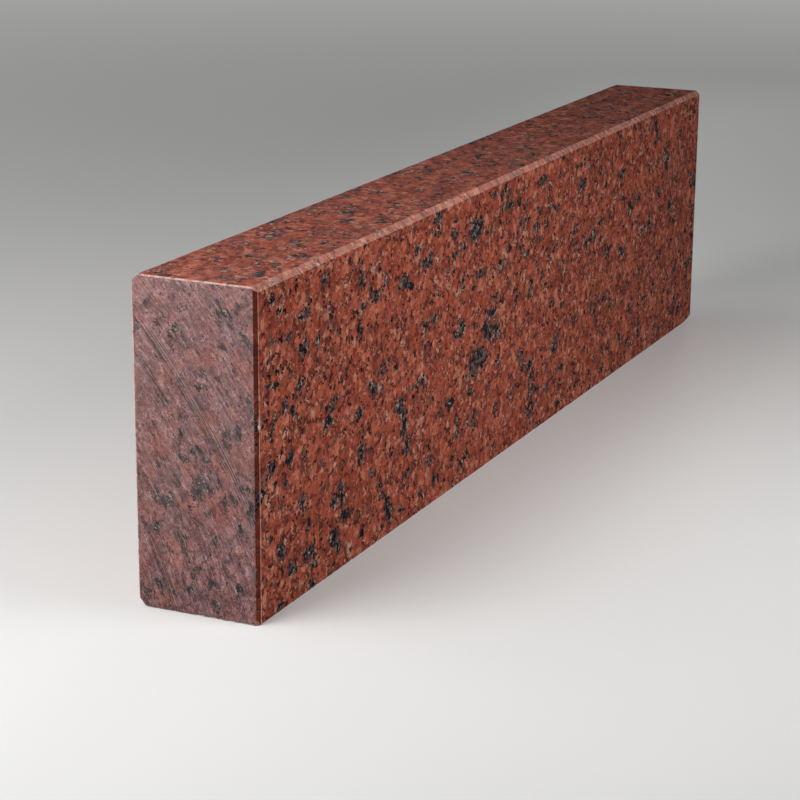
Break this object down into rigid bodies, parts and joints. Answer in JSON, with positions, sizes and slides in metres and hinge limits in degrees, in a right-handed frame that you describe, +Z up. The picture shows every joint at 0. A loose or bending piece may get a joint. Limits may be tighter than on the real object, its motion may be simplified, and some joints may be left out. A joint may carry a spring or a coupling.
{
  "type": "granite curb",
  "caption": "Straight curb stone sawn from one block of red granite, upright rectangular section with ground chamfers on its long edges and square butt ends, for edging a path or road.",
  "frame": {"origin": "centre of the bedding face, the narrow long side that the curb stands on", "axes": "+X along the curb's length, -Y out of the exposed front face, +Z up"},
  "size_m": [0.8, 0.08, 0.2],
  "materials": {
    "granite": "red granite, honed on the long faces, sawn on the butt ends, ground on the chamfers"
  },
  "bodies": {
    "root": {"granite_curb": "granite"}
  },
  "joints": []
}
